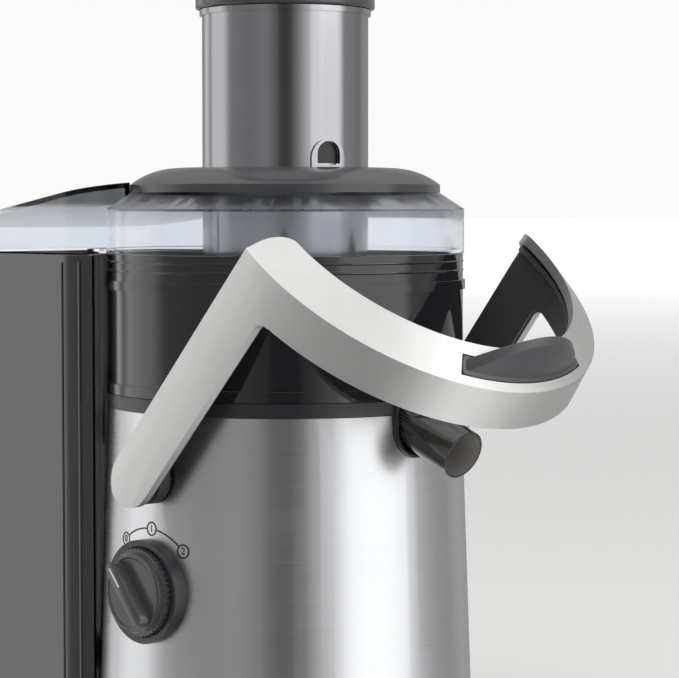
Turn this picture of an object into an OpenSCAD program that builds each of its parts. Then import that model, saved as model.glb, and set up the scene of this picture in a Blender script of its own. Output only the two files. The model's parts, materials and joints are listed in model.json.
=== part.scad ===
// Centrifugal juicer with a U-shaped locking arm, lowered at rest.
// +Z is up and z = 0 is the table. The drive axis is the Z axis.
// +X is the side of the juice spout, -X the pulp container, -Y the speed knob.

/* [Motor base] */
// Height of the steel skin's top edge above the table
base_h = 205; // [200:1:212]
// Radius of the steel skin at its top edge
skin_top_r = 96; // [95.5:0.5:96.5]
// Taper of the steel skin from the vertical, in degrees
skin_taper = 2; // [1.8:0.1:2.1]
// Thickness of the steel skin
skin_t = 0.8; // [0.6:0.1:1]
// Radius of the rubber feet
foot_r = 9; // [7:1:11]
// Height of the knob's centre above the table
knob_z = 113; // [105:1:118]
// Radius of the fixed ring round the knob
bezel_r = 27; // [25:1:29]

/* [Bowl and lid] */
// Height of the bowl's top edge above the table
bowl_top = 287; // [285:1:289]
// Outer radius of the bowl
bowl_r = 96.5; // [96:0.5:97]
// Outer radius of the clear lid's rim
lid_r = 97; // [96.5:0.5:97.5]
// Outer radius of the feed tube
tube_r = 45; // [44:0.5:46]
// Height of the feed tube's mouth above the table
tube_top = 418; // [400:1:430]
// Outer radius of the juice spout
spout_r = 13; // [12:0.5:13.5]
// Fall of the juice spout below the horizontal, in degrees
spout_fall = 23; // [20:1:25]

/* [Locking arm] */
// Height of the arm's pivot above the table
pivot_z = 173; // [171:1:175]
// Distance of the arm's pivot in front of the drive axis
pivot_x = 3; // [2:0.5:4]
// Outer radius of the hoop at its top edge
hoop_r = 107.4; // [107:0.2:108]
// Width of the arm's legs
leg_w = 30; // [28:0.5:31]
// Angle from closed down to the stop, in degrees
arm_drop = 40; // [36:1:40]
// Rise of the hoop towards the front when closed, in degrees
arm_tilt = 3.4; // [3:0.1:3.8]

/* [Pulp container] */
// Distance from the drive axis to the container's back wall
pulp_back = 190; // [180:1:200]
// Half of the container's width
pulp_half_w = 87; // [86:0.5:88]

/* [Hidden] */
$fn = 96;
over = 1;
run_gap = 0.05;
taper = tan(skin_taper);
pan_top = 16;
pan_r = skin_top_r + (base_h - pan_top) * taper + 0.8;
shell_t = 2.5;
rim_top = base_h + 7.5;
dish_floor = 184.5;
bowl_floor = 191;
cup_r = 89.6;
ledge_top = 218.5;
neck_r = 18.6;
wall = 2.5;
notch_r = 15;
notch_z = base_h - 22.6 + notch_r;
spout_x = 96;
spout_z = 200.7;
spout_end = 37.4;
spout_root = 12;
spout_step = 0.4;
lid_wall_top = 311;
lid_cone_r = 84;
lid_cone_top = 319.5;
cover_top = 333;
tube_low = 228;
window_turn = -14;
pusher_low = 240;
duct_slope = atan(0.167);
hug_r = 104.8;
pulp_floor = 9;
pulp_top = bowl_top - 1;
corner_x = 85;
corner_r = 36;
back_r = 40;
hoop_low = 294;
hoop_edge = 316.5;
hoop_in_r = 88.4;
hoop_in_z = 328.9;
leg_taper = 7.1 / 143;
skin_arm_t = 4.6;
lining_gap = 0.3;
lining_t = 1.8;
hoop_round = 12;
grip_w = 9;
tab_turn = 25.6;
tab_in_r = 94;
tab_out_r = 103.4;
boss_end = 105.2;
pin_r = 4;
knob_off = 40;
knob_face = -skin_top_r - (base_h - knob_z) * taper - 3.4;
shaft_r = 4;
bearing_r = 11;
stator_r = 48;
stator_low = 80;
stator_top = 125;
post_r = 66;
mount_z = 139.6;
brush_z = 62.2;
foot_ring = 82;
pillar_z = 22;
gland_r = 8;
gland_z = 32;
gland_turn = 115;
hub_z = 214;
mesh_t = 0.8;
mesh_top = 274;
mesh_low_r = 52.8;
mesh_top_r = 84.8;
rim_r = 90;
steel = "silver";
dark = "dimgray";
black = [0.09, 0.09, 0.1];
smoke = [0.25, 0.25, 0.28, 0.8];
clear = [0.8, 0.87, 0.93, 0.5];

// Outer radius of the steel skin at a height
function skin_r(z) = skin_top_r + (base_h - z) * taper;

// Outer radius of the arm at a height, hoop upright
function arm_r(z) = hoop_r + (hoop_edge - z) * leg_taper;

module ring(outer, inner, low, high) {
    translate([0, 0, low])
    difference() {
        cylinder(r = outer, h = high - low);
        translate([0, 0, -over]) cylinder(r = inner, h = high - low + 2 * over);
    }
}

// Cone between two heights, with a radius at each
module cone(r_low, r_high, low, high) {
    translate([0, 0, low]) cylinder(r1 = r_low, r2 = r_high, h = high - low);
}

module rod_y(r, y_low, y_high, x, z) {
    translate([x, y_high, z]) rotate([90, 0, 0]) cylinder(r = r, h = y_high - y_low);
}

// Two pieces that mirror each other across the XZ plane
module both_sides() {
    children();
    mirror([0, 1, 0]) children();
}

module around(count, radius, start = 0) {
    for (i = [0 : count - 1])
        rotate([0, 0, start + 360 * i / count]) translate([radius, 0, 0]) children();
}

// U-shaped opening for the spout, cut outwards from the drive axis
module spout_notch(grow = 0) {
    translate([50, 0, notch_z]) rotate([0, 90, 0]) cylinder(r = notch_r + grow, h = 60);
    translate([50, -notch_r - grow, notch_z]) cube([60, 2 * (notch_r + grow), 60]);
}

// Places a part on the cord gland's axis, which runs outwards on the container's side
module on_gland_axis() {
    rotate([0, 0, gland_turn]) translate([0, 0, gland_z]) rotate([0, 90, 0]) children();
}

// Holes through the base's wall for the knob's shaft, the arm's pivots and the cord gland
module wall_holes() {
    rod_y(6, -130, -50, 0, knob_z);
    both_sides() rod_y(9, 50, 130, pivot_x, pivot_z);
    on_gland_axis() translate([0, 0, 50]) cylinder(r = gland_r, h = 80);
}

// Outline that the container and the lid's duct share, larger or smaller by a margin
module pulp_outline(m = 0) {
    half = pulp_half_w + m;
    back = pulp_back + m;
    translate([-back + back_r, -half]) square([back - back_r - corner_x, 2 * half]);
    translate([-back, -half + back_r]) square([back - corner_x, 2 * (half - back_r)]);
    translate([-corner_x, -half + corner_r + m]) square([corner_r + m, 2 * (half - corner_r - m)]);
    for (side = [-1, 1]) {
        translate([-back + back_r, side * (half - back_r)]) circle(r = back_r);
        translate([-corner_x, side * (half - corner_r - m)]) circle(r = corner_r + m);
    }
}

// Plan of the pulp container, hollowed to fit round the motor base
module pulp_plan(m = 0) {
    difference() {
        pulp_outline(m);
        circle(r = hug_r - m);
    }
}

// Space under the sloping roof of the lid's duct
module under_roof(drop = 0) {
    rotate([90, 0, 0])
    linear_extrude(height = 2 * pulp_half_w + 20, center = true)
        polygon([[-220, 200], [60, 200], [60, 344 - drop], [-220, 344 - drop - 280 * tan(duct_slope)]]);
}

module base_pan() {
    color(black)
    difference() {
        union() {
            translate([0, 0, 4]) cylinder(r = pan_r, h = 3);
            ring(pan_r, pan_r - 3.4, 4, pan_top - 0.2);
            ring(pan_r - 3.4, pan_r - 6, 6, pan_top + 6);
            translate([0, 0, 4]) linear_extrude(height = 4.7) pulp_plan(-1);
            translate([0, 0, 4]) linear_extrude(height = 3)
                difference() {
                    translate([-130, -60]) square([60, 120]);
                    circle(r = 90);
                }
        }
        around(24, 52) translate([-14, -2, 0]) cube([28, 4, 20]);
        around(4, foot_ring, 45) cylinder(r = 2.2, h = 20);
    }
}

module foot() {
    cylinder(r1 = foot_r - 1, r2 = foot_r, h = 3.8);
}

module rubber_feet() {
    color(black) {
        around(4, foot_ring, 45) difference() {
            foot();
            translate([0, 0, -over]) cylinder(r = 4.5, h = 10);
        }
        both_sides() translate([-160, 55, 0]) foot();
    }
}

module base_screws() {
    color(steel)
    around(4, foot_ring, 45) {
        translate([0, 0, 1.5]) cylinder(r = 4, h = 2.4);
        translate([0, 0, 3]) cylinder(r = 1.9, h = 19);
    }
}

module steel_skin() {
    color(steel)
    difference() {
        cone(skin_r(pan_top), skin_top_r, pan_top, base_h);
        cone(skin_r(pan_top - over) - skin_t, skin_r(base_h + over) - skin_t, pan_top - over, base_h + over);
        spout_notch();
        wall_holes();
    }
}

module inner_shell() {
    gap = skin_t + 0.3;
    color(dark)
    difference() {
        union() {
            difference() {
                cone(skin_r(pan_top) - gap, skin_r(base_h) - gap, pan_top, base_h - 0.5);
                cone(skin_r(pan_top - over) - gap - shell_t, skin_r(base_h + over) - gap - shell_t,
                    pan_top - over, base_h + over);
            }
            intersection() {
                cone(skin_r(pan_top) - gap, skin_r(base_h) - gap, pan_top, base_h - 0.5);
                union() {
                    ring(100, 60, mount_z, mount_z + 3);
                    around(4, foot_ring, 45) translate([0, 0, pillar_z]) {
                        cylinder(r = 5, h = mount_z - 0.6 - pillar_z);
                        translate([-2, -1.5, 0]) cube([20, 3, mount_z - 0.6 - pillar_z]);
                    }
                }
            }
        }
        ring(150, pan_r - 6.3, 0, 22.3);
        spout_notch(1.6);
        around(4, foot_ring, 45) cylinder(r = 1.9, h = 40);
        around(4, post_r) translate([0, 0, mount_z - 9.6]) cylinder(r = 5.3, h = 20);
        wall_holes();
    }
}

module top_deck() {
    inner_r = skin_top_r - skin_t - 0.3 - shell_t - 0.3;
    color(black)
    difference() {
        union() {
            ring(skin_top_r + 1, inner_r - 2, base_h + 0.2, rim_top);
            ring(inner_r, inner_r - 2, dish_floor, base_h + 1);
            translate([0, 0, dish_floor]) cylinder(r = inner_r, h = 2.5);
            intersection() {
                spout_notch(-0.1);
                ring(skin_top_r + 3.2, inner_r - 1, dish_floor - 6, rim_top);
            }
        }
        spout_notch(-1.5);
        translate([0, 0, dish_floor - over]) cylinder(r = 14, h = 10);
    }
}

module deck_seal() {
    color(black) {
        ring(13.8, shaft_r + run_gap + 0.05, dish_floor - 1, dish_floor + 3);
        ring(17, 13.6, dish_floor + 2.7, dish_floor + 4.5);
    }
}

// Bracket that holds one bearing and bolts to the stator
module end_bracket(top) {
    difference() {
        union() {
            ring(stator_r + 2, stator_r - 4, 0, 22);
            translate([0, 0, 22]) cylinder(r = stator_r + 2, h = 4);
            translate([0, 0, 18]) cylinder(r = bearing_r + 3, h = 14);
            if (top) around(4, post_r) translate([0, 0, 10]) {
                cylinder(r = 8, h = 4);
                translate([-24, -6, 0]) cube([24, 12, 4]);
            }
        }
        translate([0, 0, 24.5]) cylinder(r = bearing_r, h = 20);
        translate([0, 0, 10]) cylinder(r = bearing_r - 2, h = 30);
        around(4, stator_r - 14, 45) translate([-9, -8, 15]) cube([18, 16, 20]);
        around(4, stator_r, 45) translate([-8, -10, 4]) cube([16, 20, 12]);
        if (top) around(4, post_r) translate([0, 0, 5]) cylinder(r = 2.1, h = 20);
    }
}

module motor_frame_upper() {
    color(steel) translate([0, 0, stator_top + 0.2]) end_bracket(true);
}

module motor_frame_lower() {
    color(steel) translate([0, 0, stator_low - 0.2]) mirror([0, 0, 1]) end_bracket(false);
}

module stator_core() {
    color(dark)
    difference() {
        ring(stator_r + 2, 27.5, stator_low, stator_top);
        for (a = [60, 120, 240, 300])
            rotate([0, 0, a]) translate([29.5, -4.5, stator_low - over]) cube([12, 9, 60]);
    }
}

// Coil of one pole: two end turns and the two legs between them
module field_coil() {
    for (low = [stator_low - 11, stator_top + 1])
        intersection() {
            ring(41, 30, low, low + 10);
            translate([0, 0, low]) linear_extrude(height = 10)
                polygon([[0, 0], [70, 70 * tan(55)], [70, 90], [-70, 90], [-70, 70 * tan(55)]]);
        }
    for (a = [60, 120])
        rotate([0, 0, a]) translate([30, -4, stator_low - 4]) cube([11, 8, stator_top - stator_low + 8]);
}

module field_coils() {
    color("chocolate") {
        field_coil();
        mirror([0, 1, 0]) field_coil();
    }
}

module brush_holders() {
    color("gold")
    around(2, 0) difference() {
        translate([14.5, -5, brush_z]) cube([25.5, 10, 10.2]);
        translate([13, -3.3, brush_z + 1.3]) cube([30, 6.6, 7.6]);
    }
}

module carbon_brushes() {
    color(black) around(2, 0) translate([12.3, -3.1, brush_z + 1.5]) cube([22, 6.2, 7.2]);
}

module upper_bearing() {
    color(steel) ring(bearing_r, shaft_r + run_gap, stator_top + 24.9, stator_top + 31.9);
}

module lower_bearing() {
    color(steel) ring(bearing_r, shaft_r + run_gap, stator_low - 31.9, stator_low - 24.9);
}

module motor_mounts() {
    color(black)
    around(4, post_r) {
        ring(5, 2.1, mount_z - 0.1, mount_z + 3.1);
        ring(7.5, 2.1, mount_z + 3.2, mount_z + 5.9);
    }
}

module motor_screws() {
    color(steel)
    around(4, post_r) {
        translate([0, 0, mount_z + 6]) cylinder(r = 4, h = 2.5);
        translate([0, 0, mount_z - 7.6]) cylinder(r = 1.9, h = 14);
    }
}

module speed_switch() {
    color(black)
    difference() {
        union() {
            translate([-14, -78, knob_z - 14]) cube([28, 16, 28]);
            rod_y(9, -88, -77, 0, knob_z);
        }
        rod_y(3.05, -90, -66, 0, knob_z);
    }
}

module control_board() {
    color("darkgreen") {
        translate([-24, 74, 70]) cube([48, 1.6, 52]);
        translate([-16, 63, 78]) cube([14, 11.2, 20]);
        translate([4, 66, 84]) cube([14, 8.2, 14]);
        rod_y(5, 62, 74.5, -8, 110);
    }
}

module interlock_switch() {
    color(black) {
        translate([pivot_x - 10, -85, pivot_z - 25]) cube([20, 6.5, 10]);
        translate([pivot_x - 10, -84, pivot_z - 15]) cube([2, 4, 1.2]);
        translate([pivot_x - 10, -84, pivot_z - 14]) cube([19, 4, 0.6]);
    }
}

module pivot_bosses() {
    low = skin_r(pivot_z) - 1.2;
    color(black)
    both_sides() difference() {
        union() {
            rod_y(14, skin_r(pivot_z) + 0.6, boss_end, pivot_x, pivot_z);
            rod_y(8.8, low - 2.6, skin_r(pivot_z) + 2, pivot_x, pivot_z);
        }
        rod_y(6, 80, 120, pivot_x, pivot_z);
    }
}

module pivot_bushes() {
    color("tan")
    both_sides() difference() {
        rod_y(6, 92.6, boss_end, pivot_x, pivot_z);
        rod_y(pin_r + run_gap, 80, 120, pivot_x, pivot_z);
    }
}

module cord_gland() {
    color(black) on_gland_axis()
    difference() {
        union() {
            translate([0, 0, 95]) cylinder(r = gland_r - 0.1, h = 12);
            translate([0, 0, 103.4]) cylinder(r = 11, h = 4);
        }
        translate([0, 0, 90]) cylinder(r = 3.6, h = 30);
    }
}

module knob_bezel() {
    front = -skin_r(knob_z) - 5;
    color(black)
    difference() {
        rod_y(bezel_r, front, -84, 0, knob_z);
        rod_y(bezel_r - 3.4, front - over, front + 2, 0, knob_z);
        rod_y(3.4, front - over, -80, 0, knob_z);
        cone(skin_r(0) + 0.1, skin_r(base_h) + 0.1, 0, base_h);
    }
}

// Turned back to the off mark
module speed_knob() {
    color(dark)
    translate([0, 0, knob_z]) rotate([0, -knob_off, 0]) translate([0, 0, -knob_z])
    difference() {
        union() {
            rod_y(bezel_r - 4, knob_face - 5, knob_face, 0, knob_z);
            rod_y(bezel_r - 6, knob_face - 8, knob_face - 4, 0, knob_z);
            intersection() {
                translate([-grip_w / 2, knob_face - 14, knob_z - bezel_r]) cube([grip_w, 12, 2 * bezel_r]);
                rod_y(bezel_r - 7, knob_face - 14, knob_face, 0, knob_z);
            }
        }
        rod_y(3, knob_face - 11, knob_face + over, 0, knob_z);
    }
}

module knob_shaft() {
    color(steel) rod_y(3, knob_face - 11, -68, 0, knob_z);
}

module juice_bowl() {
    color(smoke)
    difference() {
        union() {
            ring(bowl_r, bowl_r - wall, rim_top + 0.3, bowl_top);
            ring(bowl_r + 1.2, bowl_r - wall, bowl_top - 19, bowl_top - 14);
            ring(bowl_r + 1, cup_r - wall, rim_top + 0.3, ledge_top);
            ring(cup_r, cup_r - wall, bowl_floor, ledge_top);
            translate([0, 0, bowl_floor]) cylinder(r = cup_r, h = wall);
            ring(neck_r + 2.4, neck_r, bowl_floor, bowl_floor + 15);
            difference() {
                intersection() {
                    union() {
                        spout_rod(spout_r - spout_step, -40, spout_root + over);
                        spout_rod(spout_r, spout_root, spout_end);
                    }
                    translate([70, -30, 150]) cube([90, 60, 80]);
                }
                cylinder(r = cup_r - wall, h = bowl_top);
            }
        }
        difference() {
            spout_rod(spout_r - 1.5, -40, spout_end + over);
            translate([-20, -50, 100]) cube([90, 100, 200]);
        }
        translate([0, 0, bowl_floor - over]) cylinder(r = neck_r, h = 10);
    }
}

// Rod along the spout's axis, between two distances from where the axis leaves the bowl
module spout_rod(r, start, end) {
    translate([spout_x, 0, spout_z]) rotate([0, 90 + spout_fall, 0])
        translate([0, 0, start]) cylinder(r = r, h = end - start);
}

// Everything inside the lid's outer surface, moved inwards by a margin
module lid_solid(m, floor_z) {
    cone(lid_r - m, lid_r - m, floor_z, lid_wall_top - m / 2);
    cone(lid_r - m, lid_cone_r - m, lid_wall_top - m / 2, lid_cone_top - m);
    intersection() {
        translate([0, 0, floor_z]) linear_extrude(height = 80) pulp_outline(-m);
        under_roof(m);
        difference() {
            translate([-250, -100, 200]) cube([200, 200, 200]);
            translate([0, 0, lid_cone_top - m]) cylinder(r = lid_cone_r + 0.3 + m, h = 60);
        }
    }
}

// Way that the pulp takes from the bowl into the container
module pulp_way() {
    translate([-200, -70, 200]) cube([150, 140, 200]);
}

module lid() {
    skirt_r = bowl_r - wall - 0.9;
    color(clear)
    difference() {
        union() {
            difference() {
                lid_solid(0, bowl_top + 0.2);
                lid_solid(wall, bowl_top - 0.8);
            }
            intersection() {
                ring(hug_r + wall, lid_r - wall - 1, bowl_top + 0.2, bowl_top + 2.4);
                lid_solid(0, bowl_top + 0.2);
            }
            difference() {
                ring(skirt_r, skirt_r - 2.1, bowl_top - 7, bowl_top + 1);
                pulp_way();
            }
            difference() {
                ring(lid_r - 1, skirt_r - 2.1, bowl_top + 0.2, bowl_top + 2.4);
                pulp_way();
            }
        }
        translate([0, 0, 200]) cylinder(r = tube_r + 0.3, h = 200);
    }
}

module lid_seal() {
    color("white")
    difference() {
        ring(bowl_r - wall - 0.35, bowl_r - wall - 0.9, bowl_top - 5, bowl_top - 2);
        pulp_way();
    }
}

// Domed cap round the foot of the feed tube
module cover_profile(m) {
    dome = 42;
    intersection() {
        translate([58 - m, cover_top - dome - m]) circle(r = dome);
        translate([0, lid_cone_top + 0.2]) square([lid_cone_r - m, 30]);
    }
    translate([tube_r - 10, lid_cone_top + 0.2]) square([24, cover_top - lid_cone_top - 0.2 - m]);
}

module lid_cover() {
    color(dark)
    rotate_extrude() difference() {
        cover_profile(0);
        translate([0, -over]) cover_profile(2.5);
        square([tube_r + 0.3, 500]);
    }
}

module feed_tube() {
    hole = 6.85;
    color(dark)
    difference() {
        union() {
            ring(tube_r, tube_r - wall, tube_low, tube_top);
            ring(tube_r + 3, tube_r - 1, lid_cone_top - 7, lid_cone_top - 2.6);
            ring(tube_r + 1.4, tube_r - 1, tube_top - 3, tube_top);
            intersection() {
                ring(tube_r + 1.5, tube_r - 1, cover_top, cover_top + 20);
                rotate([0, 0, window_turn]) arch(hole + 3.2, cover_top, 30);
            }
        }
        rotate([0, 0, window_turn]) difference() {
            arch(hole, cover_top + 2, 30);
            cylinder(r = tube_r - 1.2, h = 400);
        }
    }
}

// Round-topped block that points outwards along +X
module arch(half_w, floor_z, reach) {
    translate([reach, -half_w, floor_z]) cube([reach, 2 * half_w, 5]);
    translate([reach, 0, floor_z + 5]) rotate([0, 90, 0]) cylinder(r = half_w, h = reach);
}

module pusher_body() {
    color(black)
    difference() {
        translate([0, 0, pusher_low]) cylinder(r = tube_r - wall - 0.8, h = tube_top - pusher_low - 1);
        translate([0, 0, pusher_low + 3]) cylinder(r = tube_r - wall - 3.3, h = 200);
    }
}

module pusher_cap() {
    color(black)
    difference() {
        union() {
            translate([0, 0, tube_top + 0.3]) cylinder(r = tube_r + 3.5, h = 18);
            translate([0, 0, tube_top + 18.3]) cylinder(r1 = tube_r + 3.5, r2 = tube_r + 0.5, h = 3);
            translate([0, 0, tube_top - 9]) cylinder(r = tube_r - wall - 3.4, h = 12);
        }
        translate([0, 0, tube_top - 10]) cylinder(r = tube_r - wall - 6, h = 27);
    }
}

// Turns the closed arm down to where it rests
module lowered() {
    translate([pivot_x, 0, pivot_z]) rotate([0, arm_drop, 0]) translate([-pivot_x, 0, -pivot_z]) children();
}

module tilted() {
    translate([0, 0, hoop_edge]) rotate([0, -arm_tilt, 0]) translate([0, 0, -hoop_edge]) children();
}

// Side outline of the arm, swept through its whole width
module arm_outline(m = 0) {
    corner = 6;
    rear = pivot_x - leg_w / 2 + m;
    front = pivot_x + leg_w / 2 - m;
    low = hoop_low + front * tan(arm_tilt) + m;
    rotate([90, 0, 0]) linear_extrude(height = 260, center = true) {
        difference() {
            translate([rear, pivot_z]) square([leg_w - 2 * m + corner, low - pivot_z + 4]);
            translate([front + corner, low - corner]) circle(r = corner);
            translate([front, pivot_z - over]) square([corner + over, low - corner - pivot_z + over]);
        }
        translate([pivot_x, pivot_z]) circle(r = leg_w / 2 - m);
    }
    difference() {
        intersection() {
            tilted() translate([0, -150, hoop_low + m]) translate([-60, 0, 0]) cube([200, 300, 60]);
            translate([rear, -150, 250]) cube([200, 300, 100]);
        }
        both_sides() hoop_corner(rear, m);
    }
}

// What is cut from the hoop's sloping top to round its inner rear corner
module hoop_corner(rear, m) {
    turn_x = rear + hoop_round;
    turn_y = hoop_in_r + hoop_round;
    difference() {
        translate([rear - over, 60, hoop_edge - 20]) cube([hoop_round + over, turn_y - 60, 80]);
        translate([turn_x, turn_y, 250]) cylinder(r = hoop_round - m, h = 150);
    }
}

// Wall and sloping top of the arm as one shell: depth below the outer face, and thickness
module arm_shell(depth, t) {
    r_low = arm_r(140) - depth;
    edge_r = hoop_r - depth;
    slope = (hoop_in_z - hoop_edge) / (hoop_r - hoop_in_r);
    edge_z = hoop_edge - depth * 0.78;
    tilted() rotate_extrude()
        polygon([
            [r_low, 140], [edge_r, edge_z], [hoop_in_r, edge_z + (edge_r - hoop_in_r) * slope],
            [hoop_in_r, edge_z + (edge_r - hoop_in_r) * slope - t * 1.19],
            [edge_r - t, edge_z - t * 0.78], [r_low - t, 140]
        ]);
}

module arm_hoop() {
    color(steel) lowered()
    difference() {
        intersection() {
            arm_shell(0, skin_arm_t);
            arm_outline();
        }
        tab_seat(tab_turn + 0.2, tab_in_r, tab_out_r);
    }
}

module arm_lining() {
    color(dark) lowered()
    difference() {
        intersection() {
            arm_shell(skin_arm_t + lining_gap, lining_t);
            arm_outline(1);
        }
        tilted() translate([0, 0, hoop_edge + 3]) cylinder(r = hoop_in_r + 2.2, h = 60);
        both_sides() rod_y(pin_r + 0.1, 80, 150, pivot_x, pivot_z);
    }
}

// Block that bounds the thumb tab's inlay on the hoop's sloping top
module tab_seat(turn, r_in, r_out) {
    intersection() {
        tilted() ring(r_out, r_in, 290, 350);
        translate([0, 0, 280]) linear_extrude(height = 80)
            polygon([[0, 0], [150, -150 * tan(turn)], [150, 150 * tan(turn)]]);
    }
}

module thumb_tab() {
    fin_half = 41;
    fin_rise = 22;
    fin_r = (fin_half * fin_half + fin_rise * fin_rise) / (2 * fin_rise);
    fin_top = 350;
    color(dark) lowered() {
        intersection() {
            tab_seat(tab_turn, tab_in_r + lining_gap, tab_out_r - lining_gap);
            difference() {
                arm_shell(0.4, skin_arm_t - 0.6);
                translate([-200, -200, 0]) cube([240, 400, 400]);
            }
        }
        difference() {
            intersection() {
                tilted() ring(101.4, 97.6, hoop_edge + 2, 360);
                translate([40, 0, fin_top - fin_r]) rotate([0, 90, 0]) cylinder(r = fin_r, h = 80);
            }
            arm_shell(1.5, 9);
        }
    }
}

module pivot_pins() {
    color(steel) lowered() both_sides() rod_y(pin_r, 86, boss_end + 4, pivot_x, pivot_z);
}

module pivot_clips() {
    color(steel) lowered() both_sides() difference() {
        rod_y(7, 88, 89.2, pivot_x, pivot_z);
        rod_y(pin_r, 80, 95, pivot_x, pivot_z);
    }
}

module motor_shaft() {
    color(steel) translate([0, 0, 44]) cylinder(r = shaft_r, h = 166);
}

module armature_core() {
    color(dark)
    difference() {
        ring(26.8, shaft_r, stator_low, stator_top);
        around(12, 25) translate([-4, -1.2, stator_low - over]) cube([8, 2.4, 60]);
    }
}

module armature_windings() {
    color("chocolate") {
        ring(22, shaft_r, stator_low - 7, stator_low - 0.1);
        ring(22, shaft_r, stator_top + 0.1, stator_top + 11);
    }
}

module commutator() {
    color("peru") ring(12, shaft_r, brush_z + 0.2, brush_z + 10.5);
}

module cooling_fan() {
    fan_low = stator_low - 52;
    color(dark) {
        ring(9, shaft_r, fan_low, fan_low + 12);
        ring(42, 8, fan_low, fan_low + 1.6);
        around(9, 0) translate([7, -0.8, fan_low + 0.8]) cube([33, 1.6, 9]);
    }
}

module drive_coupling() {
    color(dark) {
        ring(10, shaft_r, hub_z - 20, hub_z - 2);
        around(3, 0) translate([9, -2.5, hub_z - 16]) cube([4, 5, 13]);
    }
}

module basket_hub() {
    color(black)
    difference() {
        union() {
            translate([0, 0, hub_z]) cylinder(r = 52, h = 3);
            translate([0, 0, hub_z - 15]) cylinder(r = 17.5, h = 16);
            ring(52, 48, hub_z, hub_z + 7);
        }
        translate([0, 0, hub_z - 16]) cylinder(r = 10.2, h = 14.5);
        around(3, 0) translate([9, -2.8, hub_z - 16]) cube([4.4, 5.6, 14.5]);
    }
}

module grating_disc() {
    color(steel) {
        translate([0, 0, hub_z + 3.2]) cylinder(r = 47.7, h = 1);
        for (row = [0 : 5])
            around(8 + 3 * row, 10 + 6.6 * row, 17 * row)
                translate([-1.2, -0.4, hub_z + 4]) cube([2.4, 0.8, 2]);
    }
}

module filter_mesh() {
    color(steel)
    difference() {
        cone(mesh_low_r, mesh_top_r, hub_z + 7.3, mesh_top);
        cone(mesh_low_r - mesh_t - 0.6, mesh_top_r - mesh_t + 0.6, hub_z + 7.3 - 0.99, mesh_top + 0.99);
    }
}

module basket_rim() {
    color(black) {
        ring(rim_r, rim_r - 8.5, mesh_top + 0.2, mesh_top + 3);
        ring(rim_r, rim_r - 2.5, mesh_top + 2, mesh_top + 10);
    }
}

module pulp_container() {
    color(black)
    difference() {
        translate([0, 0, pulp_floor]) linear_extrude(height = pulp_top - pulp_floor) pulp_plan(0);
        translate([0, 0, pulp_floor + 3]) linear_extrude(height = 300) pulp_plan(-wall);
    }
}

base_pan();
rubber_feet();
base_screws();
steel_skin();
inner_shell();
top_deck();
deck_seal();
motor_frame_upper();
motor_frame_lower();
stator_core();
field_coils();
brush_holders();
carbon_brushes();
upper_bearing();
lower_bearing();
motor_mounts();
motor_screws();
speed_switch();
control_board();
interlock_switch();
pivot_bosses();
pivot_bushes();
cord_gland();
knob_bezel();
speed_knob();
knob_shaft();
juice_bowl();
lid();
lid_seal();
lid_cover();
feed_tube();
pusher_body();
pusher_cap();
arm_hoop();
arm_lining();
thumb_tab();
pivot_pins();
pivot_clips();
motor_shaft();
armature_core();
armature_windings();
commutator();
cooling_fan();
drive_coupling();
basket_hub();
grating_disc();
filter_mesh();
basket_rim();
pulp_container();
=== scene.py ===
import json
import math
import bmesh
import bpy
from mathutils import Matrix, Vector


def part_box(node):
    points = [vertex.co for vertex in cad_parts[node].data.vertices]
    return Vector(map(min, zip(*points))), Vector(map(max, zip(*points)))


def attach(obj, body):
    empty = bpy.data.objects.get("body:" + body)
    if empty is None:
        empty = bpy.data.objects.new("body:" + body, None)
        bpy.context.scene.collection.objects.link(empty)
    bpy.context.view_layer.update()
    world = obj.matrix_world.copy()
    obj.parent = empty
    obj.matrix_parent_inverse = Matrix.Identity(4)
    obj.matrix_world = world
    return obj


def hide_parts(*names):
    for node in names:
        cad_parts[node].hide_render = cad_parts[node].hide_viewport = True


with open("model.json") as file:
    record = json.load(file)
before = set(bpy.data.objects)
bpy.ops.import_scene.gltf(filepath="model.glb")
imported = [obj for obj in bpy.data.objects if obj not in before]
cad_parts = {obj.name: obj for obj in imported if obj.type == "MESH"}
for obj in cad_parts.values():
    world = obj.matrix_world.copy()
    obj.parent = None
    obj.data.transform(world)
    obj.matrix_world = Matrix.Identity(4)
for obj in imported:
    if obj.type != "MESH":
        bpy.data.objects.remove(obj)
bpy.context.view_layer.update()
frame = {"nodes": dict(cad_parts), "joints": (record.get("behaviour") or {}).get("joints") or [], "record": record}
nodes = frame["nodes"]
record = frame["record"]
slotOf = {part["node"]: part["material_slot"] for part in record["subparts"]}
bodyOf = {node: body for body, members in record["behaviour"]["bodies"].items() for node in members}
jointOf = {joint["name"]: joint for joint in frame["joints"]}
print("frame:", len(nodes), "nodes")

cameraSetup = {
    "place": (0.9516, -0.9130, 0.3135),  # metres
    "look": (-0.70598, 0.70823, -0.05564),
    "lens": 128.4,
}


def makeCamera(setup):
    data = bpy.data.cameras.new("camera")
    data.lens = setup["lens"]
    data.sensor_width = 36
    data.clip_start = 0.02
    data.clip_end = 200
    camera = bpy.data.objects.new("camera", data)
    camera.location = setup["place"]
    camera.rotation_euler = Vector(setup["look"]).to_track_quat("-Z", "Y").to_euler()
    bpy.context.scene.collection.objects.link(camera)
    bpy.context.scene.camera = camera


makeCamera(cameraSetup)


def addObject(name, mesh):
    made = bpy.data.objects.new(name, mesh)
    bpy.context.scene.collection.objects.link(made)
    return made


def meshFrom(name, verts, faces):
    mesh = bpy.data.meshes.new(name)
    mesh.from_pydata([tuple(v) for v in verts], [], faces)
    mesh.update()
    return mesh


# metres and degrees, as everywhere below
meshLook = {"weld": 2e-6, "flat angle": 0.6, "sharp angle": 32}


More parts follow.
